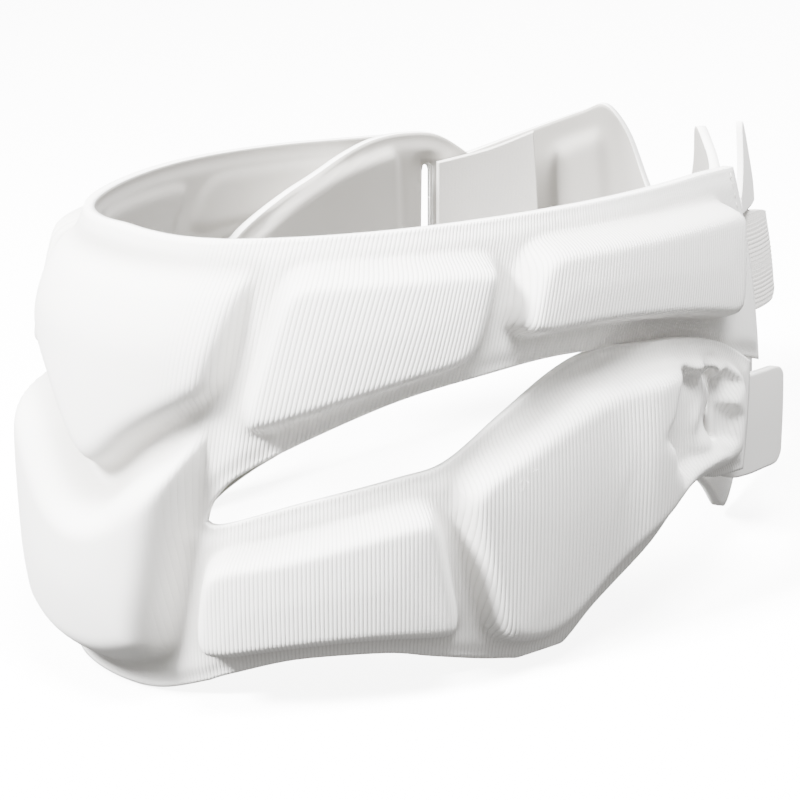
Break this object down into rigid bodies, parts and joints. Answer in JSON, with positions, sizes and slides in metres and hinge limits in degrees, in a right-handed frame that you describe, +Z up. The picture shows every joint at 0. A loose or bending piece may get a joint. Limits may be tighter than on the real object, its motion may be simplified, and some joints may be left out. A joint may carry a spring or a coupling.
{
  "type": "sponge head guard",
  "caption": "Padded sponge head guard ring with ribbed fabric pads, side openings and hook-and-loop strap ends at the back.",
  "frame": {"origin": "on the floor under the middle of the overall box, the ring resting on its lower edge", "axes": "+Z up, -Y towards the wearer's face, +X towards the wearer's left"},
  "size_m": [0.1638, 0.1996, 0.1041],
  "materials": {
    "cover": "fine ribbed knit over sponge, matte",
    "sheet": "laminated sponge sheet, smooth inside face",
    "webbing": "coarse woven webbing",
    "tape": "smooth hook-and-loop tape"
  },
  "bodies": {
    "root": {"band": "sheet", "pad_front_upper": "cover", "pad_front_lower": "cover", "pad_upper_front_left": "cover", "pad_upper_front_right": "cover", "pad_upper_rear_left": "cover", "pad_upper_rear_right": "cover", "pad_lower_front_left": "cover", "pad_lower_front_right": "cover", "pad_lower_rear_left": "cover", "pad_lower_rear_right": "cover", "rear_panel": "sheet", "pad_rear_left": "cover", "pad_rear_right": "cover", "flap_rear_left": "cover", "tab_upper_left": "webbing", "tab_upper_right": "webbing", "tab_lower_left": "tape", "tab_lower_right": "tape"}
  },
  "joints": []
}
